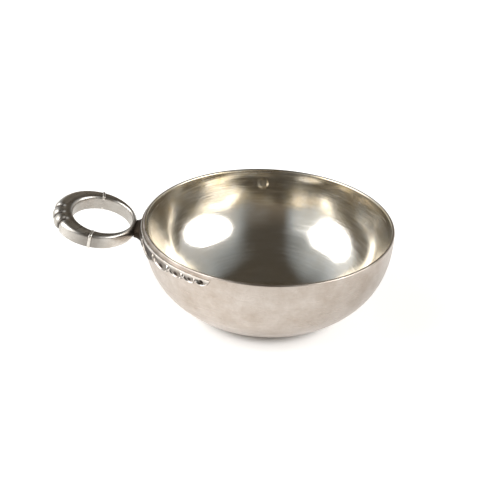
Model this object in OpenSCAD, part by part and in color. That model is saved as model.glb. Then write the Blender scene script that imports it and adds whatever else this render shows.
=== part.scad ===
// Wine taster: a shallow raised silver bowl with a ring handle on two scalloped straps.
// Millimetres, +Z up. The origin is the centre of the flat base on the table,
// and the handle points along -X.

/* [Bowl] */
// Outer radius of the bowl at its rim
bowl_r = 40; // [34:0.2:48]
// Height of the rim above the table
bowl_h = 31; // [28:0.2:35]
// Thickness of the silver sheet
wall = 1; // [0.7:0.1:1.6]
// Radius of the flat that the bowl stands on
base_r = 12; // [9:0.5:14]
// Angle at which the underside leaves the flat
base_corner = 4; // [1:0.5:6]
// Profile radius of the rounded haunch, as a share of the bowl's height or its reach past the flat
haunch_share = 0.88; // [0.75:0.01:0.95]
// Lean of the wall from upright where the haunch begins
haunch_lean = 14.3; // [4:0.1:18]
// Lean of the wall from upright where the haunch passes into the underside
base_lean = 44.4; // [35:0.1:60]
// Diameter of the blank dimple punched inside the wall
dimple_d = 4.2; // [1.5:0.1:6]
// Depth of the blank dimple
dimple_depth = 0.3; // [0.1:0.05:0.5]
// Distance of the dimple's centre below the rim
dimple_drop = 5; // [4:0.1:11]
// Direction of the dimple, counted from +X towards +Y
dimple_azimuth = 97; // [0:1:360]

/* [Straps] */
// Distance of a strap's upper edge below the rim
strap_drop = 1.2; // [0.6:0.1:4]
// Thickness of a strap, measured out from the wall
strap_t = 1.3; // [0.8:0.1:2.5]
// Depth of the plain band above the scallops
band_h = 1.3; // [0.8:0.1:3]
// Number of scallops, counted from the middle of the handle
lobe_n = 6; // [4:1:7]
// Width of the first scallop along the wall
first_lobe_w = 14; // [10:0.5:16]
// Width of each scallop as a share of the one before it
lobe_ratio = 0.77; // [0.65:0.01:0.85]
// Drop of a scallop below the band, as a share of its width
lobe_drop = 0.35; // [0.25:0.01:0.45]
// Radius of a scallop, as a share of its width
lobe_round = 0.7; // [0.6:0.01:0.9]
// Radius of the hollow in a scallop, as a share of its width
dish_round = 0.22; // [0.12:0.01:0.3]
// Depth of the hollow, as a share of the scallop's width
dish_depth = 0.09; // [0.03:0.01:0.12]
// Width of the lip that is left below each hollow
lip_w = 1.45; // [1:0.05:2]
// Radius of the slanting flute between two scallops
flute_r = 0.6; // [0.3:0.05:1]
// Depth of the slanting flute
flute_depth = 0.4; // [0.2:0.05:0.7]
// Slant of the flutes from upright
flute_slant = 40; // [0:5:60]

/* [Saddle] */
// Width of the saddle that carries the ring
saddle_w = 9; // [5:0.5:10]
// Height of the saddle
saddle_h = 5; // [3:0.2:6]
// Distance from the straps' face to the ring
saddle_t = 1.1; // [0.6:0.1:3]
// How far the saddle wraps round the ring
saddle_wrap = 0.8; // [0.4:0.1:1.6]
// Corner radius of the saddle
saddle_round = 1.2; // [0.4:0.1:1.4]

/* [Ring] */
// Diameter of the finger hole
ring_hole_d = 19.2; // [16:0.2:24]
// Height of the ring's section
ring_h = 5.4; // [4:0.1:7]
// Width of the ring's section at its outer end
knuckle_w = 6.3; // [4:0.1:8]
// Width of the ring's section at the saddle
shank_w = 1.9; // [1.6:0.1:3.5]
// Rounding of the edges of the finger hole
hole_edge_r = 1.2; // [0.4:0.1:1.4]
// Depth of the ring's centre below the rim
ring_drop = 3.5; // [1.5:0.1:6]
// Upward tilt of the ring's outer end
ring_tilt = 10; // [0:1:20]
// Twist of the ring about the handle's line, its far side up
ring_twist = 6; // [0:1:10]
// Angle of each collar from the ring's outer end, round the finger hole
collar_angle = 82; // [65:1:88]
// Width of a collar
collar_w = 0.9; // [0.5:0.1:2]
// How far a collar stands out from the ring
collar_bead = 0.25; // [0.1:0.05:0.6]
// Number of grooves across the ring's outer end
groove_n = 3; // [3:2:9]
// Spacing of the grooves along the ring's outside
groove_pitch = 4.4; // [2.6:0.1:5]
// Radius of a groove's section
groove_r = 0.9; // [0.5:0.1:1.2]
// Depth of a groove
groove_depth = 0.6; // [0.2:0.1:0.9]
// How far a groove runs inwards over the top of the ring
groove_run = 0.5; // [0:0.1:2]

/* [Hidden] */
$fn = 200;

// A length that passes right through any piece, and a small overlap for cuts
past = 4 * bowl_r;
nick = 0.5;

// A hair by which one arc stands out from the next, so that the two cross
seam = 0.002;

// The sheet's edge is round. The wall below it is upright at the edge's centre
edge_r = wall / 2 + seam;
side_h = bowl_h - edge_r;

// The haunch's radius comes from the smaller of the wall's height and its reach past the flat
reach = bowl_r - base_r;
haunch_arc_r = haunch_share * min(reach, side_h);
// What the upper wall and the underside have to span, inwards and down, on either side of it
left_in = reach - haunch_arc_r * (cos(haunch_lean) - cos(base_lean));
left_down = side_h - haunch_arc_r * (sin(base_lean) - sin(haunch_lean));
// Inward and downward run of the upper wall and of the underside, for a radius of 1
wall_in = 1 - cos(haunch_lean);
wall_down = sin(haunch_lean);
base_in = cos(base_lean) - sin(base_corner);
base_down = cos(base_corner) - sin(base_lean);
// Profile radii of the upper wall and the underside, each tangent to the haunch
run_area = wall_in * base_down - base_in * wall_down;
wall_arc_r = (left_in * base_down - left_down * base_in) / run_area;
base_arc_r = (left_down * wall_in - left_in * wall_down) / run_area;
// Centres of the three profile arcs
wall_c = [bowl_r - wall_arc_r, side_h];
haunch_c = wall_c + (wall_arc_r - haunch_arc_r) * lean_dir(haunch_lean);
base_c = [base_r - base_arc_r * sin(base_corner), base_arc_r * cos(base_corner)];

strap_top = bowl_h - strap_drop;
strap_face_r = bowl_r + strap_t;

// The ring lies between two circles that are not concentric
hole_r = ring_hole_d / 2;
ring_r = hole_r + (knuckle_w + shank_w) / 2;
ring_shift = (knuckle_w - shank_w) / 2;
ring_inner_end = ring_r - ring_shift;
ring_x = -(strap_face_r + saddle_t + ring_inner_end * cos(ring_tilt));
ring_z = bowl_h - ring_drop;

// Width of scallop i, the length of wall before it, and the angle of its centre
function lobe_w(i) = first_lobe_w * lobe_ratio ^ i;
function lobe_start(i) = i == 0 ? 0 : lobe_start(i - 1) + lobe_w(i - 1);
function wall_angle(length) = length / strap_face_r * 180 / PI;
function lobe_angle(i) = wall_angle(lobe_start(i) + lobe_w(i) / 2);
function lobe_depth(i) = band_h + lobe_drop * lobe_w(i);

// Direction out of the bowl where its wall leans by an angle from upright
function lean_dir(lean) = [cos(lean), -sin(lean)];

// Filled half profile of the bowl up to a height, drawn in by depth (or out, where it is negative)
module half_profile(depth, top) {
    haunch_r = haunch_arc_r - depth;
    upper = haunch_c + haunch_r * lean_dir(haunch_lean);
    lower = haunch_c + haunch_r * lean_dir(base_lean);
    intersection() {
        translate([0, depth])
            square([past, top - depth]);
        union() {
            intersection() {
                translate(wall_c)
                    circle(wall_arc_r - depth);
                translate([-past, upper[1]])
                    square(2 * past);
            }
            translate(haunch_c)
                circle(haunch_r + seam);
            intersection() {
                translate(base_c)
                    circle(base_arc_r - depth);
                translate([-past, lower[1] - 2 * past])
                    square(2 * past);
            }
            // Inside, over the flat and behind the haunch
            square([base_c[0], past]);
            translate([0, lower[1]])
                square([haunch_c[0], past]);
        }
    }
}

// Half section of a layer that follows the bowl, between two depths and up to a height
module layer_section(inside, outside, top) {
    difference() {
        half_profile(outside, top);
        half_profile(inside, top);
    }
}

module bowl() {
    dimple_r = (dimple_d ^ 2 / 4 + dimple_depth ^ 2) / (2 * dimple_depth);
    dimple_lean = asin((dimple_drop - edge_r) / (wall_arc_r - wall));
    dimple_c = wall_c + (wall_arc_r - wall + dimple_depth - dimple_r) * lean_dir(dimple_lean);
    color("Gainsboro")
        difference() {
            rotate_extrude() {
                layer_section(wall, 0, side_h);
                translate([bowl_r - wall / 2, side_h])
                    circle(edge_r);
            }
            rotate([0, 0, dimple_azimuth])
                translate([dimple_c[0], 0, dimple_c[1]])
                    sphere(dimple_r);
        }
}

// Turns to a direction along the wall, counted from the handle towards the front
module at_wall(angle) {
    rotate([0, 0, 180 + angle])
        children();
}

// Wedge from the handle's line to an angle, reaching down from the straps' upper edge
module wall_wedge(angle, depth) {
    translate([0, 0, strap_top - depth])
        linear_extrude(depth + nick)
            polygon([
                [0, 0], [-past, 0],
                past * [-cos(angle / 2), -sin(angle / 2)],
                past * [-cos(angle), -sin(angle)]
            ]);
}

// Outline of the front strap, seen from outside: a root behind the saddle,
// a plain band and the scallops below it
module strap_outline() {
    wall_wedge(lobe_angle(0), lobe_depth(0));
    wall_wedge(lobe_angle(lobe_n - 1), band_h);
    for (i = [0 : lobe_n - 1]) {
        r = lobe_round * lobe_w(i);
        at_wall(lobe_angle(i))
            translate([bowl_r / 2, 0, strap_top - lobe_depth(i) + r])
                rotate([0, 90, 0])
                    cylinder(r = r, h = bowl_r);
    }
}

// Hollow in the face of scallop i, above its lip
module dish(i) {
    depth = dish_depth * lobe_w(i);
    r = ((dish_round * lobe_w(i)) ^ 2 + depth ^ 2) / (2 * depth);
    at_wall(lobe_angle(i))
        translate([strap_face_r - depth + r, 0, strap_top - lobe_depth(i) + lip_w])
            sphere(r);
}

// Slanting flute that parts scallop i from the one before it
module flute(i) {
    at_wall(wall_angle(lobe_start(i)))
        translate([strap_face_r - flute_depth + flute_r, 0, strap_top - lobe_depth(i)])
            rotate([flute_slant, 0, 0])
                cylinder(r = flute_r, h = 2 * band_h + lobe_w(i) / 2, center = true);
}

module strap() {
    difference() {
        intersection() {
            rotate_extrude()
                layer_section(0, -strap_t, strap_top);
            strap_outline();
        }
        translate([-past, 0, 0])
            cube([past, past, past]);
        for (i = [1 : lobe_n - 1]) {
            dish(i);
            flute(i);
        }
    }
}

module strap_front() {
    color("LightGray")
        strap();
}

module strap_back() {
    color("LightGray")
        mirror([0, 1, 0])
            strap();
}

// Ring without its hole: round-edged disc, larger than the ring by grow
module ring_disc(grow) {
    edge_r = ring_h / 2 + grow;
    translate([-ring_shift, 0, 0])
        rotate_extrude() {
            translate([0, -edge_r])
                square([ring_r + grow - edge_r, 2 * edge_r]);
            intersection() {
                translate([ring_r + grow - edge_r, 0])
                    circle(edge_r);
                translate([ring_r + grow - edge_r - nick, -edge_r])
                    square([edge_r + nick, 2 * edge_r]);
            }
        }
}

// Finger hole with rounded edges
module finger_hole(grow) {
    edge_z = ring_h / 2 + grow - hole_edge_r;
    cylinder(r = hole_r, h = 2 * ring_h, center = true);
    for (side = [0, 1])
        mirror([0, 0, side])
            rotate_extrude()
                difference() {
                    translate([hole_r - nick, edge_z])
                        square([hole_edge_r + nick, hole_edge_r + nick]);
                    translate([hole_r + hole_edge_r, edge_z])
                        circle(hole_edge_r);
                }
}

module ring_blank(grow) {
    difference() {
        ring_disc(grow);
        finger_hole(grow);
    }
}

// Half space on the outer side of the front collar's plane, drawn back by inset
module outer_half(inset) {
    rotate([0, 0, collar_angle - 90])
        translate([-past - inset, -past, -past])
            cube([past, 2 * past, 2 * past]);
}

// Wedge of the ring between the two collars
module knuckle_wedge(inset) {
    intersection() {
        outer_half(inset);
        mirror([0, 1, 0])
            outer_half(inset);
    }
}

// Moves a piece of the ring to its place on the bowl
module place_ring() {
    translate([ring_x, 0, ring_z])
        rotate([ring_twist, ring_tilt, 0])
            children();
}

// Groove over the outside of the ring, in the plane of XZ
module groove() {
    edge_r = ring_h / 2;
    line_r = edge_r + groove_r - groove_depth;
    translate([edge_r - ring_r, 0, 0]) {
        rotate([90, 0, 0])
            rotate([0, 0, 90])
                rotate_extrude(angle = 180)
                    translate([line_r, 0])
                        circle(groove_r);
        for (side = [-1, 1])
            translate([0, 0, side * line_r]) {
                rotate([0, 90, 0])
                    cylinder(r = groove_r, h = groove_run);
                translate([groove_run, 0, 0])
                    sphere(groove_r);
            }
    }
}

module ring_shank() {
    color("DarkGray")
        place_ring()
            difference() {
                ring_blank(0);
                knuckle_wedge(-collar_w / 2);
            }
}

module ring_knuckle() {
    step = groove_pitch / ring_r * 180 / PI;
    color("Silver")
        place_ring()
            difference() {
                intersection() {
                    ring_blank(0);
                    knuckle_wedge(collar_w / 2);
                }
                for (i = [0 : groove_n - 1])
                    translate([-ring_shift, 0, 0])
                        rotate([0, 0, (i - (groove_n - 1) / 2) * step])
                            groove();
            }
}

// Collar on the front of the ring
module collar() {
    intersection() {
        ring_blank(collar_bead);
        rotate([0, 0, collar_angle - 90])
            translate([-collar_w / 2, -past, -past])
                cube([collar_w, past, 2 * past]);
    }
}

module collar_front() {
    color("WhiteSmoke")
        place_ring()
            collar();
}

module collar_back() {
    color("WhiteSmoke")
        place_ring()
            mirror([0, 1, 0])
                collar();
}

module handle_saddle() {
    saddle_end = strap_face_r + saddle_t + saddle_wrap;
    color("DimGray")
        difference() {
            translate([-saddle_end, 0, ring_z - ring_inner_end * sin(ring_tilt)])
                rotate([90, 0, 90])
                    linear_extrude(strap_face_r / 2)
                        saddle_section();
            rotate_extrude()
                half_profile(-strap_t, side_h);
            place_ring()
                ring_disc(0);
        }
}

// Round-cornered section of the saddle, across the handle
module saddle_section() {
    square([saddle_w - 2 * saddle_round, saddle_h], center = true);
    square([saddle_w, saddle_h - 2 * saddle_round], center = true);
    for (side = [-1, 1], end = [-1, 1])
        translate([side * (saddle_w / 2 - saddle_round), end * (saddle_h / 2 - saddle_round)])
            circle(saddle_round);
}

bowl();
strap_front();
strap_back();
handle_saddle();
ring_shank();
ring_knuckle();
collar_front();
collar_back();
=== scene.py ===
import math

import bpy
import numpy as np
from bpy.props import FloatProperty, FloatVectorProperty, IntProperty, PointerProperty
from mathutils import Matrix, Vector


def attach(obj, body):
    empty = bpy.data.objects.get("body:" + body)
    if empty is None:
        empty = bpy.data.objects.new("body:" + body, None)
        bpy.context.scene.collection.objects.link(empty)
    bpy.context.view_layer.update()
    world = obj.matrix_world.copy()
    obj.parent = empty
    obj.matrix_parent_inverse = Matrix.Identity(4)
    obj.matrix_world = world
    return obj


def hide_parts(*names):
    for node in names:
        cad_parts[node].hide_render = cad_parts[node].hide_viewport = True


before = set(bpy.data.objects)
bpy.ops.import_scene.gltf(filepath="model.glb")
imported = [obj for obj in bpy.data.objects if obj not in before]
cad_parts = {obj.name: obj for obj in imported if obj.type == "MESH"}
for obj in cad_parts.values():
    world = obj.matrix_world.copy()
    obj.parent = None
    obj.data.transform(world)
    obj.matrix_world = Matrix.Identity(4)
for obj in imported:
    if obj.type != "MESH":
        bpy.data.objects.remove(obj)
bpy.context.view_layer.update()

bl_info = {
    "name": "Tastevin",
    "version": (1, 0, 0),
    "blender": (4, 5, 0),
    "location": "3D View > Sidebar > Tastevin",
    "description": "Silver wine taster with a ring handle, dressed over its packed solids",
    "category": "Add Mesh",
}

MM = 0.001
BODY = "root"


# Sizes and colours

def length(name, description, millimetres):
    return FloatProperty(
        name=name, description=description, default=millimetres * MM,
        min=0.0, unit="LENGTH", precision=5,
    )


def angle(name, description, degrees):
    return FloatProperty(
        name=name, description=description, default=math.radians(degrees), subtype="ANGLE",
    )


def share(name, description, default):
    return FloatProperty(name=name, description=description, default=default, subtype="FACTOR")


def linear(hex_code):
    """Linear colour of an sRGB hex value."""
    levels = [int(hex_code[i:i + 2], 16) / 255 for i in (1, 3, 5)]
    return tuple(
        v / 12.92 if v <= 0.04045 else ((v + 0.055) / 1.055) ** 2.4 for v in levels
    )


def colour(name, description, hex_code):
    return FloatVectorProperty(
        name=name, description=description, default=linear(hex_code),
        size=3, min=0.0, max=1.0, subtype="COLOR",
    )


class BowlSizes(bpy.types.PropertyGroup):
    """Sizes of the raised bowl"""
    radius: length("Radius", "Outer radius of the bowl at its rim", 40.0)
    height: length("Height", "Height of the rim above the table", 31.0)
    sheet: length("Sheet", "Thickness of the silver sheet", 1.0)
    flat_radius: length("Flat radius", "Radius of the flat that the bowl stands on", 12.0)
    flat_corner: angle("Flat corner", "Angle at which the underside leaves the flat", 4.0)
    haunch_share: share("Haunch share", "Haunch radius as a share of height or reach", 0.88)
    haunch_lean: angle("Haunch lean", "Lean of the wall where the haunch begins", 14.3)
    base_lean: angle("Base lean", "Lean where the haunch passes into the underside", 44.4)
    inner_ripple: length("Inner ripple", "Depth of the hammer marks inside", 0.2)
    outer_ripple: length("Outer ripple", "Depth of the hammer marks outside", 0.04)
    ripple_width: length("Ripple width", "Width of one hammer mark", 9.0)
    edge_waver: length("Edge waver", "How far the rim dips here and there", 0.12)
    dimple_width: length("Dimple width", "Diameter of the blank punched dimple", 4.2)
    dimple_depth: length("Dimple depth", "Depth of the dimple", 0.3)
    dimple_drop: length("Dimple drop", "Dimple's centre below the rim", 5.0)
    dimple_azimuth: angle("Dimple azimuth", "Direction of the dimple from +X", 97.0)


class StrapSizes(bpy.types.PropertyGroup):
    """Sizes of the scalloped straps and the saddle between them and the ring"""
    top: length("Top", "Distance of a strap's upper edge below the rim", 1.2)
    thickness: length("Thickness", "Strap thickness at its lips", 1.3)
    top_edge: length("Top edge", "Strap thickness at its upper edge", 0.3)
    ground: length("Ground", "Strap thickness between the lips and ridges", 0.75)
    band: length("Band", "Depth of the plain band above the scallops", 1.3)
    lobes: IntProperty(name="Scallops", description="Scallops on one strap", default=6, min=2)
    first_width: length("First width", "Width of the first scallop", 14.0)
    ratio: share("Ratio", "Width of each scallop as a share of the one before", 0.77)
    drop: share("Drop", "Drop of a scallop as a share of its width", 0.35)
    round: share("Round", "Scallop radius as a share of its width", 0.7)
    pit: share("Pit", "Radius of the pit as a share of the scallop's width", 0.2)
    lip: length("Lip", "Distance from a pit's centre to the scallop's edge", 1.45)
    slant: angle("Slant", "Slant of the ridges from upright", 40.0)
    saddle_width: length("Saddle width", "Width of the saddle", 9.0)
    saddle_height: length("Saddle height", "Height of the saddle", 5.0)
    saddle_reach: length("Saddle reach", "Distance from the straps to the ring", 1.1)
    saddle_wrap: length("Saddle wrap", "How far the saddle wraps round the ring", 0.8)


class RingSizes(bpy.types.PropertyGroup):
    """Sizes of the finger ring and its collars"""
    hole: length("Hole", "Diameter of the finger hole", 19.2)
    height: length("Height", "Height of the ring's section", 5.4)
    knuckle_width: length("Knuckle width", "Width of the section at the outer end", 6.3)
    shank_width: length("Shank width", "Width of the section at the saddle", 1.9)
    hole_edge: length("Hole edge", "Rounding of the finger hole's edges", 1.2)
    side_file: length("Side file", "How much the ring's sides are filed back", 0.6)
    side_square: FloatProperty(
        name="Side square", description="How square the filed sides are", default=2.0, min=0.0)
    drop: length("Drop", "Ring's centre below the rim", 3.5)
    tilt: angle("Tilt", "Upward tilt of the outer end", 10.0)
    twist: angle("Twist", "Twist about the handle's line, far side up", 6.0)
    collar_angle: angle("Collar angle", "Angle of each collar from the outer end", 82.0)
    collar_width: length("Collar width", "Width of a collar", 0.9)
    collar_bead: length("Collar bead", "How far a collar stands out", 0.25)
    grooves: IntProperty(
        name="Grooves", description="Grooves across the knuckle", default=3, min=1)
    groove_pitch: length("Groove pitch", "Spacing of the grooves", 4.4)
    groove_shift: length(
        "Groove shift", "Middle groove's distance to the front of the outer end", 4.4)
    groove_depth: length("Groove depth", "Depth of a groove", 0.6)
    groove_run: length("Groove run", "How far a groove runs inwards over the top", 0.5)


class SilverColours(bpy.types.PropertyGroup):
    """Colours of the silver and its tarnish"""
    bright: colour("Bright silver", "Burnished silver inside the bowl", "#DCDAD6")
    bloom: colour("Bloom", "Thin straw-coloured tarnish inside the bowl", "#CDBA93")
    satin: colour("Satin silver", "Worn silver outside the bowl", "#D9D0C8")
    tarnish: colour("Tarnish", "Warm grey tarnish outside the bowl", "#BBADA0")
    handled: colour("Handled silver", "Silver that fingers polish", "#EBE7E1")
    film: colour("Film", "Thin tarnish on the ring", "#C9C2B8")
    # The dark colour is tarnish in hollows, and also painted shade on the saddle, on top of the
    # ring and beside its collars
    hollow: colour("Hollow", "Dark tarnish in hollows and grooves", "#3C332B")


class StageLook(bpy.types.PropertyGroup):
    """Colours and levels of the plain studio around the object"""
    paper: colour("Paper", "White table", "#F4F3F1")
    paper_glow: share("Paper glow", "Share of white that the table shows by itself", 0.42)
    glow_from: length("Glow from", "Distance from the cup's middle where the glow begins", 18.8)
    glow_to: length("Glow to", "Distance from the cup's middle where the glow is full", 24.5)
    room_top: colour("Room above", "Dim room overhead", "#524C43")
    room_middle: colour("Room", "Dim room at mid height", "#7B7164")
    room_low: colour("Room low", "Room near the table", "#9A8F80")
    side_edge: colour(
        "Side edge", "Where the room begins to pale to the left and right", "#ABB1B4")
    side_left: colour("Left side", "Pale room round the left lamp", "#FBFCFB")
    side_right: colour("Right side", "Pale room round the right lamp", "#D2D0CB")
    lamp_power: FloatProperty(
        name="Lamp power", description="Power of each soft lamp", default=8.6, unit="POWER")
    lamp_width: FloatProperty(
        name="Lamp width", description="Width of each soft lamp", default=0.84, unit="LENGTH")
    lamp_height: FloatProperty(
        name="Lamp height", description="Height of each soft lamp", default=0.9, unit="LENGTH")
    lamp_foot: FloatProperty(
        name="Lamp foot", description="Lower edge of the lamps above the table", default=0.2,
        unit="LENGTH")
    lamp_distance: FloatProperty(
        name="Lamp distance", description="Distance of the lamps", default=0.85, unit="LENGTH")


SIZE_GROUPS = {
    "tastevin_bowl": BowlSizes,
    "tastevin_straps": StrapSizes,
    "tastevin_ring": RingSizes,
    "tastevin_silver": SilverColours,
    "tastevin_stage": StageLook,
}


# Mesh helpers

def grid_faces(rows, columns):
    """Quads of a grid stored row by row, whose last column joins the first."""
    faces = []
    for r in range(rows - 1):
        for c in range(columns):
            beside = (c + 1) % columns
            faces.append((
                r * columns + c, r * columns + beside,
                (r + 1) * columns + beside, (r + 1) * columns + c,
            ))
    return faces


def tube_faces(rows, columns, flip):
    """Faces of a tube stored ring by ring and capped at both ends, turned over if asked."""
    last = (rows - 1) * columns
    caps = [tuple(range(columns))[::-1], tuple(range(last, last + columns))]
    faces = grid_faces(rows, columns) + caps
    return [face[::-1] for face in faces] if flip else faces


def add_piece(name, points, faces, material, node, dark=None):
    """Makes a mesh piece that rides on the body and stands for a CAD node."""
    mesh = bpy.data.meshes.new(name)
    mesh.from_pydata([tuple(p) for p in np.asarray(points).reshape(-1, 3)], [], faces)
    mesh.validate()
    for polygon in mesh.polygons:
        polygon.use_smooth = True
    if dark is not None:
        # The dark mask holds tarnish and painted shade
        layer = mesh.attributes.new("hollow", "FLOAT", "POINT")
        layer.data.foreach_set("value", np.asarray(dark, np.float32).ravel())
    mesh.materials.append(material)
    piece = bpy.data.objects.new(name, mesh)
    bpy.context.scene.collection.objects.link(piece)
    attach(piece, BODY)
    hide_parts(node)
    return piece


def smooth_step(low, high, value):
    t = np.clip((value - low) / (high - low), 0.0, 1.0)
    return t * t * (3.0 - 2.0 * t)


def hammer_ripple(points, width):
    """Even, aimless ripple of about unit height, with marks of about the given width."""
    waves = 14
    golden = math.pi * (3.0 - math.sqrt(5.0))
    # The waves differ in length by up to this share, in an order and with phases that don't
    # repeat
    spread, order, phase = 0.35, 1.7, 2.1
    field = np.zeros(points.shape[:-1])
    for k in range(waves):
        z = 1.0 - 2.0 * (k + 0.5) / waves
        r = math.sqrt(1.0 - z * z)
        direction = np.array((r * math.cos(golden * k), r * math.sin(golden * k), z))
        stretch = 1.0 + spread * math.sin(order * k)
        field += np.sin(points @ direction * (math.pi * stretch / width) + phase * k * k)
    return field / math.sqrt(waves)


class BowlProfile:
    """Three tangent arcs from the rim, through the haunch, to the flat."""

    def __init__(self, sizes):
        self.side = sizes.height - sizes.sheet / 2
        reach = sizes.radius - sizes.flat_radius
        a, b, c = sizes.haunch_lean, sizes.base_lean, sizes.flat_corner
        haunch = sizes.haunch_share * min(reach, self.side)
        left_in = reach - haunch * (math.cos(a) - math.cos(b))
        left_down = self.side - haunch * (math.sin(b) - math.sin(a))
        # Inward and downward run of the upper wall and of the underside, for a radius of 1
        wall_in, wall_down = 1 - math.cos(a), math.sin(a)
        base_in, base_down = math.cos(b) - math.sin(c), math.cos(c) - math.sin(b)
        area = wall_in * base_down - base_in * wall_down
        wall = (left_in * base_down - left_down * base_in) / area
        base = (left_down * wall_in - left_in * wall_down) / area
        wall_c = np.array((sizes.radius - wall, self.side))
        haunch_c = wall_c + (wall - haunch) * np.array((math.cos(a), -math.sin(a)))
        base_c = np.array((sizes.flat_radius - base * math.sin(c), base * math.cos(c)))
        self.last = math.pi / 2 - c
        self.arcs = ((0.0, a, wall, wall_c), (a, b, haunch, haunch_c),
                     (b, self.last, base, base_c))

    def at_lean(self, lean, depth):
        """Radius, height and outward direction where the wall has this lean."""
        lean = np.asarray(lean, float)
        centre = np.zeros(lean.shape + (2,))
        arc_r = np.zeros(lean.shape)
        for low, high, r, c in self.arcs:
            inside = (lean >= low) & (lean <= high)
            centre[inside] = c
            arc_r[inside] = r
        out = np.stack((np.cos(lean), -np.sin(lean)), -1)
        point = centre + (arc_r - depth)[..., None] * out
        return point[..., 0], point[..., 1], out

    def leans(self, wall_step, step):
        """Leans along the profile, in finer steps on the upper wall than below it."""
        parts = []
        for low, high, r, _ in self.arcs:
            count = max(2, round((high - low) * r / (step if low else wall_step)))
            parts.append(np.linspace(low, high, count, endpoint=False))
        return np.concatenate(parts + [np.array([self.last])])

    def lean_at_height(self, z):
        """Lean of the outer face at a height."""
        samples = 4000
        leans = np.linspace(0.0, self.last, samples)
        heights = self.at_lean(leans, 0.0)[1]
        return np.interp(z, heights[::-1], leans[::-1])


# Materials

def add_node(tree, kind, values=None, links=None, stops=(), **settings):
    """Adds a shader node with its settings, socket values, incoming links and ramp stops."""
    node = tree.nodes.new(kind)
    for key, value in settings.items():
        setattr(node, key, value)
    for socket, value in (values or {}).items():
        node.inputs[socket].default_value = value
    for socket, source in (links or {}).items():
        tree.links.new(source, node.inputs[socket])
    if stops:
        elements = node.color_ramp.elements
        while len(elements) < len(stops):
            elements.new(0.5)
        for element, (position, tone) in zip(elements, stops):
            element.position = position
            element.color = (*tone, 1.0)
    return node


BLACK, WHITE = (0.0, 0.0, 0.0), (1.0, 1.0, 1.0)
# Places of the colour sockets on a Mix node, whose names are shared with its number sockets
COLOUR_A, COLOUR_B, COLOUR_RESULT = 6, 7, 2
# Levels of the noise between which a cloud of tarnish thickens
CLOUD_FROM, CLOUD_TO = 0.30, 0.70
# Heights between which the inside of the bowl turns hazy, and the share of tarnish below them
HAZE_FROM, HAZE_TO = 11.0 * MM, 28.0 * MM
HAZE_FLOOR = 0.3
# Turns of the two sets of scratches in radians, and how a scratch is drawn out lengthways
SCRATCH_TURNS = ((0.06, 0.03, 0.0), (0.9, 0.4, 0.3))
SCRATCH_STRETCH = (0.04, 0.04, 1.0)
# Product of the two sets where the silver is smoothest and where it is roughest
WEAR_LEAST, WEAR_MOST = 0.12, 0.42
# Tarnish from which a dull crust forms, and the roughness that the thickest crust adds
CRUST_FROM, CRUST_ROUGHNESS = 0.5, 0.4
# Width and height of the paper's grain. The real one is too fine to show, so it is coarser
PAPER_GRAIN, PAPER_RELIEF = 0.8 * MM, 0.05 * MM


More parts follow.
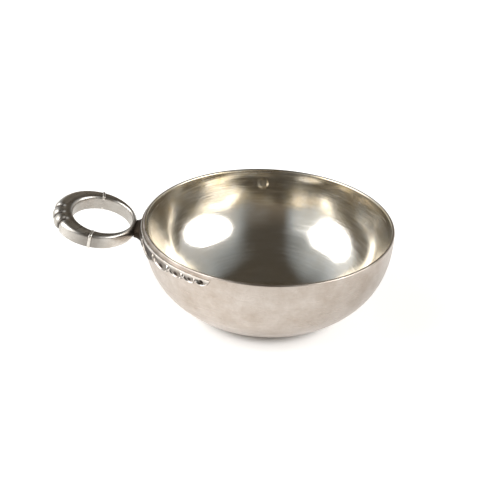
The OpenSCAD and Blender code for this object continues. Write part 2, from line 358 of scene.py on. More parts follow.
def silver(name, bright, tarnish, cloud, gloss, scratch, depth, haze=0.0, hollow=False):
    """Worked silver: tarnish in clouds, scratches, haze towards the rim, dark hollows of
    tarnish and painted shade.

    The widths of the clouds and scratches and the scratches' depth are in millimetres.
    """
    found = bpy.data.materials.get(name)
    if found:
        return found
    material = bpy.data.materials.new(name)
    material.use_nodes = True
    tree = material.node_tree
    tree.nodes.clear()
    place = add_node(tree, "ShaderNodeTexCoord").outputs["Object"]
    # Tarnish lies in clouds with finer specks in them
    clouds = add_node(
        tree, "ShaderNodeTexNoise",
        {"Scale": 1.0 / (cloud * MM), "Detail": 6.0, "Roughness": 0.72}, {"Vector": place})
    thick = add_node(
        tree, "ShaderNodeValToRGB", None, {"Fac": clouds.outputs["Fac"]},
        ((CLOUD_FROM, BLACK), (CLOUD_TO, WHITE)))
    cover = thick.outputs["Color"]
    if haze:
        # Inside the bowl both the tarnish and the haze grow towards the rim
        height = add_node(tree, "ShaderNodeSeparateXYZ", None, {"Vector": place})
        rise = add_node(
            tree, "ShaderNodeMapRange",
            {"From Min": HAZE_FROM, "From Max": HAZE_TO, "To Min": HAZE_FLOOR},
            {"Value": height.outputs["Z"]}, interpolation_type="SMOOTHSTEP")
        cover = add_node(
            tree, "ShaderNodeMath", None, {0: cover, 1: rise.outputs["Result"]},
            operation="MULTIPLY").outputs["Value"]
    tint = add_node(
        tree, "ShaderNodeMix",
        {COLOUR_A: (*bright, 1.0), COLOUR_B: (*tarnish, 1.0)},
        {"Factor": cover}, data_type="RGBA")
    base = tint.outputs[COLOUR_RESULT]
    # Scratches from wiping run round the piece, and a few cross them. Real ones are a
    # hundredth of a millimetre wide, too fine to show, so they are drawn at the given width
    lines = []
    for turn in SCRATCH_TURNS:
        laid = add_node(
            tree, "ShaderNodeMapping",
            {"Rotation": turn, "Scale": SCRATCH_STRETCH}, {"Vector": place})
        lines.append(add_node(
            tree, "ShaderNodeTexNoise",
            {"Scale": 1.0 / (scratch * MM), "Detail": 3.0, "Roughness": 0.7},
            {"Vector": laid.outputs["Vector"]}))
    wear = add_node(
        tree, "ShaderNodeMath", None,
        {0: lines[0].outputs["Fac"], 1: lines[1].outputs["Fac"]}, operation="MULTIPLY")
    rough = add_node(
        tree, "ShaderNodeMapRange",
        {"From Min": WEAR_LEAST, "From Max": WEAR_MOST, "To Min": gloss[0], "To Max": gloss[1]},
        {"Value": wear.outputs["Value"]}).outputs["Result"]
    if haze:
        veil = add_node(
            tree, "ShaderNodeMapRange",
            {"From Min": HAZE_FROM, "From Max": HAZE_TO, "To Max": haze},
            {"Value": height.outputs["Z"]}, interpolation_type="SMOOTHSTEP")
        rough = add_node(
            tree, "ShaderNodeMath", None, {0: rough, 1: veil.outputs["Result"]},
            operation="ADD").outputs["Value"]
    relief = add_node(
        tree, "ShaderNodeBump", {"Strength": 1.0, "Distance": depth * MM},
        {"Height": wear.outputs["Value"]})
    if hollow:
        # The mesh's dark mask gives tarnish in hollows and also painted shade on the saddle and
        # parts of the ring
        mark = add_node(tree, "ShaderNodeAttribute", attribute_name="hollow")
        deep = add_node(
            tree, "ShaderNodeMix",
            {COLOUR_B: (*bpy.context.scene.tastevin_silver.hollow, 1.0)},
            {"Factor": mark.outputs["Fac"], COLOUR_A: base}, data_type="RGBA")
        base = deep.outputs[COLOUR_RESULT]
        # Thick tarnish is a dull crust
        crust = add_node(
            tree, "ShaderNodeMapRange", {"From Min": CRUST_FROM, "To Max": CRUST_ROUGHNESS},
            {"Value": mark.outputs["Fac"]})
        rough = add_node(
            tree, "ShaderNodeMath", None, {0: rough, 1: crust.outputs["Result"]},
            operation="ADD").outputs["Value"]
    shader = add_node(
        tree, "ShaderNodeBsdfPrincipled", {"Metallic": 1.0},
        {"Base Color": base, "Roughness": rough, "Normal": relief.outputs["Normal"]})
    add_node(tree, "ShaderNodeOutputMaterial", None, {"Surface": shader.outputs["BSDF"]})
    return material


def burnished_sheet(colours):
    # Silver sheet burnished inside the bowl: nearly a mirror on the floor, hazy up to the rim
    return silver(
        "burnished_silver_sheet", colours.bright, colours.bloom, cloud=14.0,
        gloss=(0.10, 0.21), scratch=0.5, depth=0.03, haze=0.07)


def satin_sheet(colours):
    # The same sheet outside, dulled by wiping and handling: soft highlights, warm grey specks
    return silver(
        "satin_silver_sheet", colours.satin, colours.tarnish, cloud=9.0,
        gloss=(0.24, 0.42), scratch=0.4, depth=0.02, hollow=True)


def chased_silver(colours):
    # Cast silver chased with punches: bright ridges, near-black sulphide in the hollows
    return silver(
        "chased_cast_silver", colours.handled, colours.tarnish, cloud=4.0,
        gloss=(0.14, 0.28), scratch=0.25, depth=0.004, hollow=True)


def handled_silver(colours):
    # Cast silver polished by fingers, dark only where they don't reach
    return silver(
        "handled_cast_silver", colours.handled, colours.film, cloud=6.0,
        gloss=(0.24, 0.40), scratch=0.3, depth=0.004, hollow=True)


def white_paper(look):
    # Matt white paper that reads as white to the eye and in the silver, and takes the shadow,
    # deepened near the cup by a painted shadow
    material = bpy.data.materials.new("white_paper")
    material.use_nodes = True
    tree = material.node_tree
    tree.nodes.clear()
    path = add_node(tree, "ShaderNodeLightPath")
    place = add_node(tree, "ShaderNodeTexCoord").outputs["Object"]
    grain = add_node(
        tree, "ShaderNodeTexNoise", {"Scale": 1.0 / PAPER_GRAIN, "Detail": 2.0},
        {"Vector": place})
    relief = add_node(
        tree, "ShaderNodeBump", {"Strength": 0.05, "Distance": PAPER_RELIEF},
        {"Height": grain.outputs["Fac"]})
    matt = add_node(
        tree, "ShaderNodeBsdfDiffuse", {"Color": (*look.paper, 1.0)},
        {"Normal": relief.outputs["Normal"]})
    seen = add_node(
        tree, "ShaderNodeMath", None,
        {0: path.outputs["Is Camera Ray"], 1: path.outputs["Is Glossy Ray"]}, operation="ADD")
    # The glow is left out under and round the cup, so a painted shadow deepens the real shade
    # there
    away = add_node(tree, "ShaderNodeVectorMath", None, {0: place}, operation="LENGTH")
    glow_outside_painted_shadow = add_node(
        tree, "ShaderNodeMapRange",
        {"From Min": look.glow_from, "From Max": look.glow_to, "To Max": look.paper_glow},
        {"Value": away.outputs["Value"]}, interpolation_type="SMOOTHSTEP")
    level = add_node(
        tree, "ShaderNodeMath", None,
        {0: seen.outputs["Value"], 1: glow_outside_painted_shadow.outputs["Result"]}, operation="MULTIPLY")
    glow = add_node(
        tree, "ShaderNodeEmission", {"Color": (*WHITE, 1.0)},
        {"Strength": level.outputs["Value"]})
    both = add_node(
        tree, "ShaderNodeAddShader", None,
        {0: matt.outputs["BSDF"], 1: glow.outputs["Emission"]})
    add_node(tree, "ShaderNodeOutputMaterial", None, {"Surface": both.outputs["Shader"]})
    return material


# Pieces

class TASTEVIN_OT_bowl(bpy.types.Operator):
    """Raise the bowl: both faces of the sheet, its round edge, hammer ripple and a dimple"""
    bl_idname = "tastevin.bowl"
    bl_label = "Bowl"

    segments = 480
    # Share by which the columns crowd together at the dimple
    crowding = 0.6
    # Spacing of the rows, and the finer one on the wall that holds the dimple
    step = 0.8 * MM
    dimpled_step = 0.25 * MM
    edge_rows = 9
    flat_rows = 12
    # Distances over which the hammer marks fade out at the rim and at the flat
    rim_fade = 3 * MM
    flat_fade = 6 * MM
    # Waves of the rim round the bowl, their phase, and how far down the wall they reach
    waver_waves = (2, 3, 5, 8)
    waver_phase = 1.3
    waver_reach = 5 * MM
    # Tarnish in the seam above the straps: its share, its ripple and the width of the ripple's
    # marks, the height over which it begins and the share of the strap's length where it fades
    seam_film = 0.3
    seam_ripple = 0.15
    seam_mark = 2.5 * MM
    seam_start = 1 * MM
    seam_fade = 0.8
    # Darkening away from the handle, and the shares of the radius along X over which it grows
    far_darkening = 0.27
    far_span = (-0.8, 0.15)
    # Share of the dimple's radius that is pressed to its full depth
    dimple_floor = 0.65

    def execute(self, context):
        sizes = context.scene.tastevin_bowl
        colours = context.scene.tastevin_silver
        profile = BowlProfile(sizes)
        inner = self.face(sizes, profile, sizes.sheet, sizes.inner_ripple)
        outer = self.face(sizes, profile, 0.0, sizes.outer_ripple)
        around = np.linspace(math.pi, 0.0, self.edge_rows + 2)[1:-1]
        half = sizes.sheet / 2
        edge = self.turned(
            sizes, sizes.radius - half + half * np.cos(around),
            profile.side + half * np.sin(around))
        points = np.concatenate((inner[::-1], edge, outer))
        points[..., 2] -= self.dips(sizes, points)
        count = len(points)
        faces = grid_faces(count, self.segments)
        points = points.reshape(-1, 3)
        floor, under = len(points), len(points) + 1
        points = np.concatenate((points, ((0, 0, sizes.sheet), (0, 0, 0))))
        last = (count - 1) * self.segments
        for c in range(self.segments):
            beside = (c + 1) % self.segments
            faces.append((floor, beside, c))
            faces.append((under, last + c, last + beside))
        piece = add_piece(
            "raised_bowl", points, faces, burnished_sheet(colours), "bowl",
            self.tarnish(sizes, context.scene.tastevin_straps, points))
        # The outside, from the middle of the edge down, has its own finish
        piece.data.materials.append(satin_sheet(colours))
        first = (len(inner) + self.edge_rows // 2) * self.segments
        for polygon in piece.data.polygons:
            corners = polygon.vertices
            polygon.material_index = int(min(corners) >= first and floor not in corners)
        return {"FINISHED"}

    def turned(self, sizes, r, z):
        """Rows of points round the axis."""
        turn = np.linspace(0.0, 2 * math.pi, self.segments, endpoint=False)
        turn = turn - self.crowding * np.sin(turn - sizes.dimple_azimuth)
        return np.stack((
            r[:, None] * np.cos(turn), r[:, None] * np.sin(turn),
            np.repeat(z[:, None], self.segments, 1)), -1)

    def face(self, sizes, profile, depth, ripple):
        """One face of the sheet, from the rim to the flat."""
        wall_step = self.dimpled_step if depth > 0.0 else self.step
        r, z, out = profile.at_lean(profile.leans(wall_step, self.step), depth)
        flat = np.linspace(r[-1], 0.0, self.flat_rows + 1)[1:-1]
        out = np.concatenate((out, np.tile((0.0, -1.0), (len(flat), 1))))
        z = np.concatenate((z, np.full(flat.shape, z[-1])))
        r = np.concatenate((r, flat))
        point = self.turned(sizes, r, z)
        normal = self.turned(sizes, out[:, 0], out[:, 1])
        fade = smooth_step(0.0, self.rim_fade, profile.side - z)
        fade = fade * smooth_step(sizes.flat_radius, sizes.flat_radius + self.flat_fade, r)
        lift = ripple * hammer_ripple(point, sizes.ripple_width) * fade[:, None]
        if depth > 0.0:
            lift = lift + self.dimple(sizes, point)
        return point + normal * lift[..., None]

    def dips(self, sizes, point):
        """How far the rim sinks below its full height, none away from the rim."""
        turn = np.arctan2(point[..., 1], point[..., 0])
        waves = [np.sin(n * turn + self.waver_phase * n * n) for n in self.waver_waves]
        wave = sum(waves) / len(waves)
        near = smooth_step(sizes.height - self.waver_reach, sizes.height, point[..., 2])
        return sizes.edge_waver * (1.0 + wave) / 2 * near

    def tarnish(self, sizes, straps, point):
        """Tarnish outside in the seam above the straps, and darkening away from the handle."""
        end = StrapPlan(straps).end
        along = np.abs(np.arctan2(point[:, 1], -point[:, 0])) * sizes.radius
        top = sizes.height - straps.top
        seam = smooth_step(top - self.seam_start, top, point[:, 2])
        seam = seam * (1.0 - smooth_step(self.seam_fade * end, end, along))
        seam = seam * (self.seam_film + self.seam_ripple * hammer_ripple(point, self.seam_mark))
        far = self.far_darkening * smooth_step(*self.far_span, point[:, 0] / sizes.radius)
        return np.clip(np.maximum(seam, far), 0.0, 1.0)

    def dimple(self, sizes, point):
        """Depth of the punched dimple."""
        r = sizes.radius - sizes.sheet
        a = sizes.dimple_azimuth
        half = sizes.dimple_width / 2
        centre = np.array((r * math.cos(a), r * math.sin(a), sizes.height - sizes.dimple_drop))
        away = np.linalg.norm(point - centre, axis=-1) / half
        pressed = 1.0 - smooth_step(self.dimple_floor, 1.0, away)
        # The punch was held at a slant, so the dimple is deepest towards +X and runs out on
        # the other side
        along = (point - centre) @ np.array((math.sin(a), -math.cos(a), 0.0))
        slant = (1.0 + np.clip(along / half, -1.0, 1.0)) / 2
        return sizes.dimple_depth * pressed * slant


class StrapPlan:
    """Outline and relief of a strap, over length along the wall and depth below its top."""

    # Shares of the band's depth over which the band slopes out, the root swells to its full
    # thickness, and the tarnish and the ridges begin
    slope_span = (0.0, 1.2)
    swell_span = (0.0, 2.0)
    film_span = (0.2, 1.0)
    ridge_span = (0.5, 1.1)
    # Shares of the first scallop's width over which the root and the crust on it end
    root_end = (0.4, 0.9)
    crust_end = (1.2, 2.1)
    # Tarnish on the ground at the tip, what is added nearer the root, the shares of the length
    # over which that ends, and the crust of tarnish at the root
    tip_film = 0.6
    more_film = 0.25
    more_end = (0.3, 0.8)
    crust_film = 0.95
    # How clean wear keeps what stands up, and how much of that the crust takes back
    worn_clean = 0.9
    crust_back = 0.5
    # Half widths of a lip and a ridge on the widest scallop that has them, the share of them
    # that the smallest would keep, and the shares of a scallop's width over which its lip ends
    lip_half = 0.55 * MM
    ridge_half = 0.5 * MM
    least_half = 0.6
    lip_end = (0.42, 0.6)
    # Middle of a ridge above the scallop's lowest point, as a share of its drop
    ridge_rise = 0.55
    # Channels beside a ridge: the side and strength of each, their distance and half width in
    # half widths of the ridge, their depth, how much of them a lip fills, and their tarnish
    channels = ((-1.0, 1.0), (1.0, 0.8))
    channel_aside = 2.0
    channel_half = 0.9
    channel_depth = 0.35 * MM
    channel_filled = 0.9
    channel_film = 0.85
    # Pit above the lip: its shift to the root as a share of the scallop's width, its depth, how
    # much of it a lip fills, and how steep its sides are
    pit_shift = 0.06
    pit_depth = 0.7 * MM
    pit_filled = 0.8
    pit_power = 4
    # Share of a channel's or pit's depth that the smallest scallop would keep
    least_depth = 0.5
    # Width of the rolled lower edge, depths over which the upper edge rises, least thickness
    rolled = 0.55 * MM
    top_span = (-0.1 * MM, 0.15 * MM)
    thinnest = 0.2 * MM

    def __init__(self, sizes):
        self.sizes = sizes
        widths = [sizes.first_width * sizes.ratio ** i for i in range(sizes.lobes)]
        self.width = np.array(widths)
        self.start = np.concatenate(((0.0,), np.cumsum(widths)[:-1]))
        self.centre = self.start + self.width / 2
        self.depth = sizes.band + sizes.drop * self.width
        self.radius = sizes.round * self.width
        last = self.radius[-1]
        self.end = self.centre[-1] + math.sqrt(last ** 2 - max(last - self.depth[-1], 0.0) ** 2)

    def edge(self, along):
        """Depth of the lower edge."""
        low = np.where(along <= self.centre[-1], self.sizes.band, 0.0)
        low = np.where(along <= self.centre[0], self.depth[0], low)
        for c, d, r in zip(self.centre, self.depth, self.radius):
            inside = np.abs(along - c) < r
            drop = np.sqrt(np.clip(r ** 2 - (along - c) ** 2, 0.0, None))
            low = np.where(inside, np.maximum(low, d - r + drop), low)
        return low

    def relief(self, along, depth, edge):
        """Height over the wall and darkness of the tarnish."""
        sizes = self.sizes
        full = sizes.thickness
        bands = depth / sizes.band
        widths = along / self.width[0]
        # The band slopes out from a thin upper edge, so that it meets the rim without a ledge
        slope = smooth_step(*self.slope_span, bands)
        height = sizes.top_edge + (sizes.ground - sizes.top_edge) * slope
        # Root behind the saddle
        root = 1.0 - smooth_step(*self.root_end, widths)
        height = height + (full - height) * root * smooth_step(*self.swell_span, bands)
        # Tarnish lies over the ground, most at the root and least at the tip
        more = 1.0 - smooth_step(*self.more_end, along / self.end)
        crusted = 1.0 - smooth_step(*self.crust_end, widths)
        film = self.tip_film + self.more_film * more
        film = film + (self.crust_film - film) * crusted
        film = film * smooth_step(*self.film_span, bands)
        below = smooth_step(*self.ridge_span, bands)
        dark = np.zeros(along.shape)
        worn = np.zeros(along.shape)
        for i in range(1, sizes.lobes):
            w = self.width[i]
            # Smaller scallops have finer lips and ridges, and shallower channels and pits
            scale = w / self.width[1]
            fine = self.least_half + (1.0 - self.least_half) * scale
            deep = self.least_depth + (1.0 - self.least_depth) * scale
            # Lip that follows the scallop's lower edge
            lip = self.lip_half * fine
            near = 1.0 - smooth_step(*self.lip_end, np.abs(along - self.centre[i]) / w)
            bead = np.sqrt(np.clip(1.0 - ((edge - depth - lip) / lip) ** 2, 0.0, 1.0)) * near
            # Slanting ridge between this scallop and the one before it
            middle = self.depth[i] - self.ridge_rise * sizes.drop * w
            aside = (along - self.start[i]) - (depth - middle) * math.tan(sizes.slant)
            aside = aside * math.cos(sizes.slant) / (self.ridge_half * fine)
            ridge = np.exp(-aside ** 2) * below
            raised = np.maximum(bead, ridge)
            height = np.maximum(height, sizes.ground + (full - sizes.ground) * raised)
            worn = np.maximum(worn, raised)
            # Channel on each side of the ridge
            for side, strength in self.channels:
                across = (aside - side * self.channel_aside) / self.channel_half
                channel = np.exp(-across ** 2) * below * strength
                channel = channel * (1.0 - self.channel_filled * bead)
                height = height - self.channel_depth * channel * deep
                dark = np.maximum(dark, self.channel_film * channel)
            # Pit above the lip
            pit_middle = self.depth[i] - sizes.lip * fine
            away = np.hypot(along - self.centre[i] + self.pit_shift * w, depth - pit_middle)
            pit = np.exp(-(away / (sizes.pit * w)) ** self.pit_power)
            pit = pit * (1.0 - self.pit_filled * bead)
            height = height - self.pit_depth * pit * deep
            dark = np.maximum(dark, pit)
        clean = self.worn_clean * worn * (1.0 - self.crust_back * crusted)
        dark = np.maximum(dark, film * (1.0 - clean))
        # The lower edge is rolled down to the wall
        low = (edge - depth) / self.rolled
        roll = np.sqrt(np.clip(1.0 - (1.0 - low).clip(0.0, 1.0) ** 2, 0.0, 1.0))
        top = smooth_step(*self.top_span, depth)
        return np.clip(height, self.thinnest, full) * top * roll, dark


class TASTEVIN_OT_straps(bpy.types.Operator):
    """Chase the two scalloped straps that run round the wall from the ring"""
    bl_idname = "tastevin.straps"
    bl_label = "Straps"

    columns = 420
    rows = 44
    # Share by which the rows crowd towards both edges
    crowding = 0.5
    # How deep a strap's back is set in the wall
    buried = 0.15 * MM

    def execute(self, context):
        bowl = context.scene.tastevin_bowl
        sizes = context.scene.tastevin_straps
        colours = context.scene.tastevin_silver
        profile = BowlProfile(bowl)
        plan = StrapPlan(sizes)
        along = np.linspace(0.0, plan.end, self.columns)
        edge = plan.edge(along)
        even = np.linspace(0.0, 1.0, self.rows)
        crowded = (1.0 - np.cos(math.pi * even)) / 2
        across = even + (crowded - even) * self.crowding
        depth = edge[:, None] * across[None, :]
        wide = np.repeat(along[:, None], self.rows, 1)
        height, dark = plan.relief(wide, depth, np.repeat(edge[:, None], self.rows, 1))
        back = np.full(height.shape, -self.buried)
        loop_depth = np.concatenate((depth, depth[:, ::-1]), 1)
        loop_height = np.concatenate((height, back), 1)
        loop_dark = np.concatenate((dark, np.zeros(dark.shape)), 1)
        lean = profile.lean_at_height(bowl.height - sizes.top - loop_depth)
        r, z, out = profile.at_lean(lean, 0.0)
        r = r + loop_height * out[..., 0]
        z = z + loop_height * out[..., 1]
        turn = (along / (bowl.radius + sizes.thickness))[:, None]
        for name, side in (("front", -1.0), ("back", 1.0)):
            points = np.stack((-r * np.cos(turn), side * r * np.sin(turn), z), -1)
            add_piece(
                "chased_strap_" + name, points,
                tube_faces(self.columns, 2 * self.rows, flip=side < 0), chased_silver(colours),
                "strap_" + name, loop_dark)
        return {"FINISHED"}


class TASTEVIN_OT_saddle(bpy.types.Operator):
    """Fit the soldered saddle between the straps and the ring"""
    bl_idname = "tastevin.saddle"
    bl_label = "Saddle"

    rows = 16
    section = 64
    # How far the saddle is sunk into the straps, and the share of its wrap at which it ends
    sunk = 0.5 * MM
    wrap_share = 0.6
    # How square its section is, and its width and height at the ring, as shares
    square = 2.4
    neck_wide, neck_tall = 0.95, 0.8
    # What the solder's fillet adds to them on the wall
    fillet_wide, fillet_tall = 0.25, 0.45

    def execute(self, context):
        bowl = context.scene.tastevin_bowl
        sizes = context.scene.tastevin_straps
        ring = context.scene.tastevin_ring
        face = bowl.radius + sizes.thickness
        near = face - self.sunk
        far = face + sizes.saddle_reach + self.wrap_share * sizes.saddle_wrap
        inner_end = ring.hole / 2 + ring.shank_width
        middle = bowl.height - ring.drop - inner_end * math.sin(ring.tilt)
        turn = np.linspace(0.0, 2 * math.pi, self.section, endpoint=False)
        power = 2.0 / self.square
        y = np.sign(np.cos(turn)) * np.abs(np.cos(turn)) ** power * sizes.saddle_width / 2
        z = np.sign(np.sin(turn)) * np.abs(np.sin(turn)) ** power * sizes.saddle_height / 2
        t = np.linspace(0.0, 1.0, self.rows)
        spread = (1.0 - t) ** 2
        wide = self.neck_wide + self.fillet_wide * spread
        tall = self.neck_tall + self.fillet_tall * spread
        x = -(near + (far - near) * t)
        points = np.stack((
            np.repeat(x[:, None], self.section, 1),
            wide[:, None] * y[None, :],
            middle + tall[:, None] * z[None, :]), -1)
        # The near end follows the round of the straps
        bend = face - np.sqrt(face ** 2 - points[..., 1] ** 2)
        points[..., 0] += bend * (1.0 - t)[:, None]
        # The whole saddle is painted in the dark colour, a painted shadow for the shade in the
        # junction under the ring
        add_piece(
            "soldered_saddle", points, tube_faces(self.rows, self.section, flip=True),
            chased_silver(context.scene.tastevin_silver), "handle_saddle",
            np.ones(points.shape[:2]))
        return {"FINISHED"}


class RingForm:
    """Section of the ring at any angle round the finger hole, and its place on the bowl."""

    # Angles from the outer end over which the filing of the sides begins and ends
    filed_from = (math.radians(20.0), math.radians(80.0))
    filed_to = (math.radians(125.0), math.radians(160.0))
    # Share of the filing that the top and bottom get
    filed_top = 0.45
    # Steps of the search for the surface, each of which halves what is left
    halvings = 40

    def __init__(self, sizes, bowl, straps):
        self.sizes = sizes
        self.hole = sizes.hole / 2
        self.outer = self.hole + (sizes.knuckle_width + sizes.shank_width) / 2
        self.shift = (sizes.knuckle_width - sizes.shank_width) / 2
        inner_end = self.outer - self.shift
        face = bowl.radius + straps.thickness
        self.centre = np.array((
            -(face + straps.saddle_reach + inner_end * math.cos(sizes.tilt)),
            0.0, bowl.height - sizes.drop))

    def rim(self, turn):
        """Distance of the outer edge from the hole's centre."""
        side = self.shift * np.sin(turn)
        return self.shift * np.cos(turn) + np.sqrt(self.outer ** 2 - side ** 2)

    def section(self, turn, spin, grow):
        """Distance from the middle of the section to its surface."""
        sizes = self.sizes
        middle = (self.hole + self.rim(turn)) / 2
        half = sizes.height / 2 + grow
        edge = sizes.hole_edge
        crown = self.rim(turn) - sizes.height / 2
        # Half round at both ends; flatter and steeper on the sides, where it is filed
        from_end = np.abs(turn - 2 * math.pi * (turn > math.pi))
        filed = smooth_step(*self.filed_from, from_end)
        filed = filed * (1.0 - smooth_step(*self.filed_to, from_end))
        wide = half - sizes.side_file * filed
        tall = half - self.filed_top * sizes.side_file * filed
        power = 2.0 + sizes.side_square * filed
        low = np.zeros(np.broadcast(turn, spin, grow).shape)
        high = low + sizes.height
        for _ in range(self.halvings):
            t = (low + high) / 2
            r = middle + t * np.cos(spin)
            z = t * np.sin(spin)
            outside = (np.maximum(r - crown, 0.0) / wide) ** power
            outside = outside + (np.abs(z) / tall) ** power - 1.0
            hole = np.hypot(
                np.maximum(self.hole + edge - r, 0.0),
                np.maximum(np.abs(z) - (half - edge), 0.0)) - edge
            inside = np.maximum(outside, hole) < 0.0
            low = np.where(inside, t, low)
            high = np.where(inside, high, t)
        return (low + high) / 2

    def place(self, turn, spin, reach):
        """Point of the ring in the frame. Turn 0 is the outer end, and turns to the front."""
        middle = (self.hole + self.rim(turn)) / 2
        r = middle + reach * np.cos(spin)
        x, y, z = -r * np.cos(turn), -r * np.sin(turn), reach * np.sin(spin)
        c, s = math.cos(self.sizes.twist), math.sin(self.sizes.twist)
        y, z = c * y - s * z, s * y + c * z
        c, s = math.cos(self.sizes.tilt), math.sin(self.sizes.tilt)
        x, z = c * x + s * z, c * z - s * x
        return np.stack((x, y, z), -1) + self.centre


def ring_piece(form, name, node, turns, surface, spins=88):
    """Makes a length of the ring, closed at both ends, from its surface and its dark mask of
    tarnish and painted shade.
    """
    spin = np.linspace(0.0, 2 * math.pi, spins, endpoint=False)[None, :]
    turn = turns[:, None]
    reach, dark = surface(turn, spin)
    add_piece(
        name, form.place(turn, spin, reach), tube_faces(len(turns), spins, flip=True),
        handled_silver(bpy.context.scene.tastevin_silver), node,
        np.broadcast_to(dark, reach.shape))


class TASTEVIN_OT_ring(bpy.types.Operator):
    """Make the finger ring: a plain shank and a thicker knuckle with grooves across it"""
    bl_idname = "tastevin.ring"
    bl_label = "Finger ring"

    shank_rows = 150
    knuckle_rows = 300
    knuckle_spins = 112
    # Half width of a groove, and the distances from its end over which it runs out
    groove_half = 0.95 * MM
    groove_fade = (-0.9 * MM, 0.6 * MM)
    # Tarnish in a groove and round all of them, and the shares of their whole width over
    # which the second ends
    groove_film = 0.95
    grime = 0.3
    grime_end = (0.4, 0.7)
    # Painted shade in the corner beside a collar, and its half width
    collar_corner_shade = 0.75
    corner_half = 0.7 * MM
    # Darkening on the outer side, and the distances from a collar over which it ends
    side_darkening = 0.62
    side_end = (1 * MM, 11 * MM)
    # Darkening in the finger hole, and painted shade on top of the shank and the knuckle
    hole_darkening = 0.4
    shank_top_shade = 0.3
    knuckle_top_shade = 0.05
    # Cosines from the middle of the outer side, hole and top over which their darkening begins
    side_span = (0.2, 0.6)
    hole_span = (0.1, 0.5)
    top_span = (0.5, 0.85)

    def execute(self, context):
        scene = context.scene
        sizes = scene.tastevin_ring
        form = RingForm(sizes, scene.tastevin_bowl, scene.tastevin_straps)
        stop = sizes.collar_angle

        def shank(turn, spin):
            reach = form.section(turn, spin, 0.0)
            near = np.abs(np.abs(turn - math.pi) - (math.pi - stop)) * form.outer
            return reach, self.tarnish(sizes, near, spin, self.shank_top_shade)

        def knuckle(turn, spin):
            reach = form.section(turn, spin, 0.0)
            r = (form.hole + form.rim(turn)) / 2 + reach * np.cos(spin)
            # Grooves are spaced along the outer circle
            x = r * np.cos(turn) - form.shift
            y = r * np.sin(turn)
            along = np.arctan2(y, x) * form.outer - sizes.groove_shift
            cut = np.zeros(reach.shape)
            for k in range(sizes.grooves):
                place = (k - (sizes.grooves - 1) / 2) * sizes.groove_pitch
                cut = np.maximum(cut, np.exp(-((along - place) / self.groove_half) ** 2))
            start = form.rim(turn) - sizes.height / 2 - sizes.groove_run
            cut = cut * smooth_step(*self.groove_fade, r - start)
            block = sizes.grooves * sizes.groove_pitch
            grimy = 1.0 - smooth_step(*self.grime_end, np.abs(along) / block)
            dark = np.maximum(self.groove_film * cut, self.grime * grimy * (np.cos(spin) > 0.0))
            near = (stop - np.abs(turn)) * form.outer
            dark = np.maximum(dark, self.tarnish(sizes, near, spin, self.knuckle_top_shade))
            return reach - sizes.groove_depth * cut, dark

        ring_piece(
            form, "ring_shank_plain", "ring_shank",
            np.linspace(stop, 2 * math.pi - stop, self.shank_rows), shank)
        ring_piece(
            form, "ring_knuckle_grooved", "ring_knuckle",
            np.linspace(-stop, stop, self.knuckle_rows), knuckle, self.knuckle_spins)
        return {"FINISHED"}

    def tarnish(self, sizes, near, spin, painted_top_shade):
        """Painted shade beside the nearest collar and on top, and darkening on the outer side
        near a collar and in the finger hole.
        """
        gap = np.maximum(near - sizes.collar_width / 2, 0.0)
        # Painted shade in the corner beside a collar
        corner = self.collar_corner_shade * np.exp(-(gap / self.corner_half) ** 2)
        # Darker on the outer side near a collar, and in the finger hole
        side = self.side_darkening * (1.0 - smooth_step(*self.side_end, near))
        outside = np.maximum(
            corner * (np.cos(spin) > 0.0), side * smooth_step(*self.side_span, np.cos(spin)))
        hole = self.hole_darkening * smooth_step(*self.hole_span, -np.cos(spin))
        # Painted shade on top of the ring
        top = painted_top_shade * smooth_step(*self.top_span, np.sin(spin))
        return np.maximum(outside, np.maximum(hole, top))


class TASTEVIN_OT_collars(bpy.types.Operator):
    """Bind the ring with a raised collar at each end of the knuckle"""
    bl_idname = "tastevin.collars"
    bl_label = "Collars"

    rows = 15
    # How square the bead is
    square = 4

    def execute(self, context):
        scene = context.scene
        sizes = scene.tastevin_ring
        form = RingForm(sizes, scene.tastevin_bowl, scene.tastevin_straps)
        middle_r = (form.hole + form.rim(np.array(sizes.collar_angle))) / 2
        half = sizes.collar_width / 2 / float(middle_r)
        for name, side in (("front", 1.0), ("back", -1.0)):
            centre = side * sizes.collar_angle

            def bead(turn, spin, centre=centre):
                u = np.clip((turn - centre) / half, -1.0, 1.0)
                grow = sizes.collar_bead * (1.0 - u ** self.square)
                return form.section(turn, spin, grow), 0.0

            ring_piece(
                form, "ring_collar_" + name, "collar_" + name,
                np.linspace(centre - half, centre + half, self.rows), bead)
        return {"FINISHED"}


# Stage

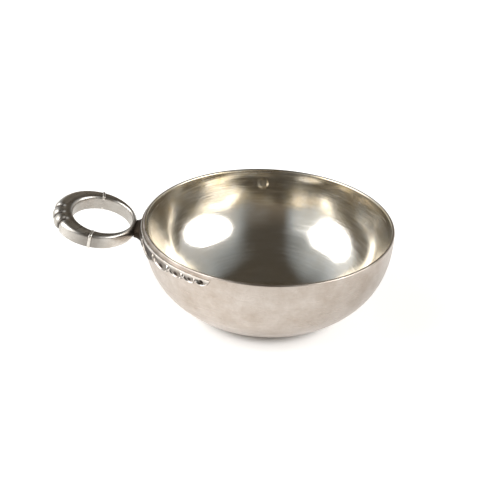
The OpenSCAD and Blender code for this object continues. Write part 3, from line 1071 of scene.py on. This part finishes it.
class TASTEVIN_OT_stage(bpy.types.Operator):
    """Set the white table, the dim room, two soft lamps and the camera"""
    bl_idname = "tastevin.stage"
    bl_label = "Stage"

    # Width of the table, and its gap under the cup's flat
    table = 3.0
    gap = 0.05 * MM
    # Sines of the height at which the room has its low, middle and top tones
    room_heights = (0.0, 0.3, 0.8)
    # Places of the side tones, from 0 at the left to 1 at the right, and the distances from
    # the middle, up to 1, over which they take over
    side_places = (0.16, 0.3, 0.7, 0.84)
    side_span = (0.2, 0.5)
    # Name, azimuth in degrees from the front and scale of each lamp
    lamps = (("left", -76.0, 1.25), ("right", 78.0, 1.0))
    # Camera: its place and aim in millimetres, its roll in degrees, its focal length and
    # sensor in millimetres, and the nearest distance that it sees in metres
    eye = (21.70, -460.23, 272.06)
    aim = (-5.71, -0.34, 20.92)
    roll = 2.52
    focal = 117.66
    sensor = 36.0
    nearest = 0.01

    def execute(self, context):
        scene = context.scene
        look = scene.tastevin_stage
        half = self.table / 2
        mesh = bpy.data.meshes.new("table")
        mesh.from_pydata(
            [(-half, -half, 0), (half, -half, 0), (half, half, 0), (-half, half, 0)], [],
            [(0, 1, 2, 3)])
        table = bpy.data.objects.new("table", mesh)
        table.location.z = -self.gap
        mesh.materials.append(white_paper(look))
        scene.collection.objects.link(table)
        self.room(scene, look)
        for name, azimuth, scale in self.lamps:
            self.lamp(scene, look, "soft_lamp_" + name, math.radians(azimuth), scale)
        self.camera(scene)
        scene.view_settings.view_transform = "Standard"
        return {"FINISHED"}

    def room(self, scene, look):
        """Dim room: darker overhead, paler to the left and right."""
        world = bpy.data.worlds.new("dim_room")
        world.use_nodes = True
        tree = world.node_tree
        tree.nodes.clear()
        place = add_node(tree, "ShaderNodeTexCoord").outputs["Generated"]
        way = add_node(tree, "ShaderNodeSeparateXYZ", None, {"Vector": place})
        heights = (look.room_low, look.room_middle, look.room_top)
        ahead = add_node(
            tree, "ShaderNodeValToRGB", None, {"Fac": way.outputs["Z"]},
            tuple(zip(self.room_heights, heights)))
        across = add_node(
            tree, "ShaderNodeMapRange", {"From Min": -1.0, "From Max": 1.0},
            {"Value": way.outputs["X"]})
        sides = (look.side_left, look.side_edge, look.side_edge, look.side_right)
        beside = add_node(
            tree, "ShaderNodeValToRGB", None, {"Fac": across.outputs["Result"]},
            tuple(zip(self.side_places, sides)))
        aside = add_node(
            tree, "ShaderNodeMath", None, {0: way.outputs["X"]}, operation="ABSOLUTE")
        pale = add_node(
            tree, "ShaderNodeMapRange",
            {"From Min": self.side_span[0], "From Max": self.side_span[1]},
            {"Value": aside.outputs["Value"]}, interpolation_type="SMOOTHSTEP")
        tone = add_node(
            tree, "ShaderNodeMix", None,
            {"Factor": pale.outputs["Result"], COLOUR_A: ahead.outputs["Color"],
             COLOUR_B: beside.outputs["Color"]}, data_type="RGBA")
        back = add_node(
            tree, "ShaderNodeBackground", {"Strength": 1.0},
            {"Color": tone.outputs[COLOUR_RESULT]})
        add_node(tree, "ShaderNodeOutputWorld", None, {"Surface": back.outputs["Background"]})
        scene.world = world

    def lamp(self, scene, look, name, azimuth, scale):
        """Upright soft lamp that faces the cup from the given azimuth."""
        data = bpy.data.lights.new(name, "AREA")
        data.shape = "ELLIPSE"
        data.size = scale * look.lamp_width
        data.size_y = scale * look.lamp_height
        data.energy = scale * look.lamp_power
        lamp = bpy.data.objects.new(name, data)
        middle = scale * look.lamp_height / 2 + look.lamp_foot
        aside = look.lamp_distance * math.sin(azimuth)
        ahead = look.lamp_distance * math.cos(azimuth)
        lamp.location = (aside, -ahead, middle)
        towards = Vector((0.0, 0.0, middle)) - lamp.location
        lamp.rotation_euler = towards.to_track_quat("-Z", "Y").to_euler()
        scene.collection.objects.link(lamp)

    def camera(self, scene):
        """Camera at the photograph's viewing angle."""
        data = bpy.data.cameras.new("photo_camera")
        data.lens = self.focal
        data.sensor_width = self.sensor
        data.clip_start = self.nearest
        camera = bpy.data.objects.new("photo_camera", data)
        eye = Vector(self.eye) * MM
        towards = Vector(self.aim) * MM - eye
        turned = towards.to_track_quat("-Z", "Y").to_matrix()
        camera.rotation_euler = (
            turned @ Matrix.Rotation(math.radians(self.roll), 3, "Z")).to_euler()
        camera.location = eye
        scene.collection.objects.link(camera)
        scene.camera = camera


class TASTEVIN_PT_panel(bpy.types.Panel):
    """Lists the pieces of the tastevin"""
    bl_label = "Tastevin"
    bl_idname = "TASTEVIN_PT_panel"
    bl_space_type = "VIEW_3D"
    bl_region_type = "UI"
    bl_category = "Tastevin"

    def draw(self, context):
        for operator in OPERATORS:
            self.layout.operator(operator.bl_idname)
        for group, kind in SIZE_GROUPS.items():
            box = self.layout.box()
            for name in kind.__annotations__:
                box.prop(getattr(context.scene, group), name)


OPERATORS = (
    TASTEVIN_OT_bowl, TASTEVIN_OT_straps, TASTEVIN_OT_saddle, TASTEVIN_OT_ring,
    TASTEVIN_OT_collars, TASTEVIN_OT_stage,
)


def register():
    for name, kind in SIZE_GROUPS.items():
        bpy.utils.register_class(kind)
        setattr(bpy.types.Scene, name, PointerProperty(type=kind))
    for kind in OPERATORS + (TASTEVIN_PT_panel,):
        bpy.utils.register_class(kind)


def unregister():
    for kind in (TASTEVIN_PT_panel,) + OPERATORS[::-1]:
        bpy.utils.unregister_class(kind)
    for name, kind in SIZE_GROUPS.items():
        delattr(bpy.types.Scene, name)
        bpy.utils.unregister_class(kind)


def main():
    register()
    bpy.ops.tastevin.bowl()
    bpy.ops.tastevin.straps()
    bpy.ops.tastevin.saddle()
    bpy.ops.tastevin.ring()
    bpy.ops.tastevin.collars()
    bpy.ops.tastevin.stage()


if __name__ == "__main__":
    main()
